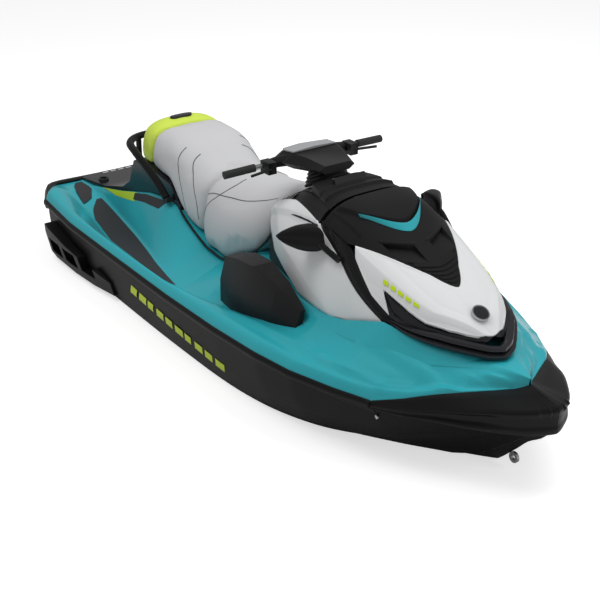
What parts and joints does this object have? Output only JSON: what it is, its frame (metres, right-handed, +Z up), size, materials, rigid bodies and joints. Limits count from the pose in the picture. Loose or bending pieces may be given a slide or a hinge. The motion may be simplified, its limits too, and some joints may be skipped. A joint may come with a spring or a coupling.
{
  "type": "personal watercraft",
  "caption": "Sit-on jet-driven personal watercraft afloat: V hull, moulded deck with footwells, stepped saddle seat, hood lid, turning handlebar, steered pump nozzle and reverse gate.",
  "frame": {"origin": "on the centreline amidships at the still-water level", "axes": "+X forward to the bow, +Y to port, +Z up"},
  "size_m": [3.4107, 1.2506, 1.14],
  "materials": {
    "teal_gelcoat": "gloss",
    "black_hull": "satin",
    "black_plastic": "matte",
    "gloss_black": "gloss",
    "white_panel": "gloss",
    "grey_vinyl": "soft",
    "lime_vinyl": "soft",
    "deck_mat": "ribbed",
    "grip_rubber": "matte",
    "pad_grey": "matte",
    "cast_aluminium": "cast",
    "stainless": "brushed",
    "mirror_glass": "mirror",
    "engine": "cast",
    "display": "gloss"
  },
  "bodies": {
    "hull_body": {"hull": "black_hull", "deck": "teal_gelcoat", "rubbing_rail": "black_plastic", "bow_bumper": "black_plastic", "stern_bumpers": "black_plastic", "sponsons": "black_plastic", "footwell_mats": "deck_mat", "rear_platform": "gloss_black", "seat_front": "grey_vinyl", "seat_rear": "grey_vinyl", "seat_cap": "lime_vinyl", "grab_handle": "black_plastic", "side_panels": "white_panel", "spine_bands": "black_plastic", "dash_shroud": "black_plastic", "footwell_shields": "black_plastic", "dash_body": "black_plastic", "gauge_display": "display", "mirror_housings": "black_plastic", "mirror_glass": "mirror_glass", "lower_grille": "gloss_black", "lid_pins": "stainless", "steering_bearing": "black_plastic", "engine_block": "engine", "pump_housing": "cast_aluminium", "ride_plate": "cast_aluminium", "intake_grate": "cast_aluminium", "bow_eye": "stainless", "stern_eyes": "stainless", "accessory_sockets": "black_plastic"},
    "steering": {"steering_column": "stainless", "handlebar": "stainless", "bar_cover": "black_plastic", "bar_pad": "pad_grey", "grips": "grip_rubber", "control_levers": "black_plastic"},
    "hood": {"hood_shell": "white_panel", "hood_arms": "black_plastic", "hood_vent": "black_plastic", "hood_inlets": "gloss_black", "hood_badge": "black_plastic"},
    "glovebox": {"glovebox_lid": "black_plastic"},
    "pump_rotor": {"impeller": "stainless"},
    "nozzle": {"steering_nozzle": "cast_aluminium"},
    "gate": {"reverse_gate": "cast_aluminium"}
  },
  "joints": [
    {"name": "steering_turn", "type": "hinge", "parent": "hull_body", "child": "steering", "pos_m": [0.19, 0, 0.852], "axis": [-0.4695, 0, 0.8829], "range_deg": [-22, 22]},
    {"name": "nozzle_turn", "type": "hinge", "parent": "hull_body", "child": "nozzle", "pos_m": [-1.598, 0, -0.06], "axis": [0, 0, 1], "range_deg": [-20, 20]},
    {"name": "gate_swing", "type": "hinge", "parent": "hull_body", "child": "gate", "pos_m": [-1.548, 0, -0.06], "axis": [0, -1, 0], "range_deg": [0, 62]},
    {"name": "impeller_spin", "type": "hinge", "parent": "hull_body", "child": "pump_rotor", "pos_m": [-1.36, 0, -0.06], "axis": [1, 0, 0], "continuous": true},
    {"name": "hood_lift", "type": "hinge", "parent": "hull_body", "child": "hood", "pos_m": [0.501, 0, 0.83567], "axis": [0, -1, 0], "range_deg": [0, 50]},
    {"name": "glovebox_lift", "type": "hinge", "parent": "hull_body", "child": "glovebox", "pos_m": [0.073, 0, 0.71426], "axis": [0, -1, 0], "range_deg": [0, 70]}
  ],
  "couplings": [
    {"joint": "nozzle_turn", "follows": "steering_turn", "ratio": -0.9}
  ]
}
